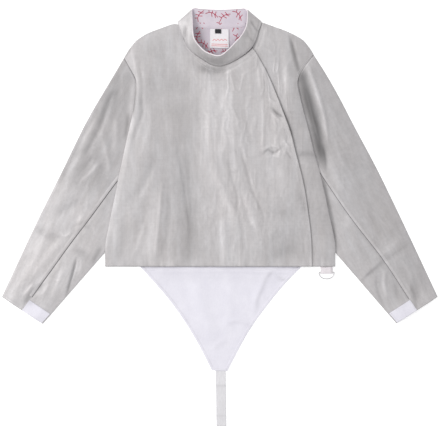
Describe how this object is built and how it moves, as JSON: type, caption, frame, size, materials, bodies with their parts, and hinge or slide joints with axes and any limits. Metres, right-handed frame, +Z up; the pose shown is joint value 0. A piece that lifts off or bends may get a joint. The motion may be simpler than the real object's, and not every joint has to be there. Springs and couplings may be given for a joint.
{
  "type": "fencing lame",
  "caption": "Waist-length sabre fencing lame laid flat: stand collar, long sleeves, side closure, white crotch strap and a D-ring at the hem.",
  "frame": {"origin": "middle of the laid garment's bounding box, on the surface that it lies on", "axes": "+Z up from that surface, +Y towards the collar, +X to the right as seen from above (the wearer's left)"},
  "size_m": [0.9144, 0.8772, 0.026],
  "materials": {
    "lame": "woven silver metal thread, soft metallic sheen",
    "lining": "matt, pale lavender grey",
    "label": "woven satin, blank",
    "size_patch": "woven, blank",
    "white_cloth": "matt white, slightly blue",
    "elastic": "ribbed woven elastic",
    "webbing": "woven tape",
    "steel": "nickel plated wire"
  },
  "bodies": {
    "jacket": {"front_main": "lame", "front_side": "lame", "back": "lame", "sleeve_left": "lame", "sleeve_right": "lame", "collar": "lame", "collar_lining": "lining", "back_lining": "lining", "neck_label": "label", "size_label": "size_patch", "cuff_patch_left": "white_cloth", "cuff_patch_right": "white_cloth", "crotch_panel": "white_cloth", "crotch_strap": "elastic", "ring_tab": "webbing"},
    "ring": {"d_ring": "steel"}
  },
  "joints": [
    {"name": "ring_swing", "type": "hinge", "parent": "jacket", "child": "ring", "pos_m": [0.2238, -0.1159, 0.0032], "axis": [-1, 0, 0], "range_deg": [0, 150]}
  ]
}
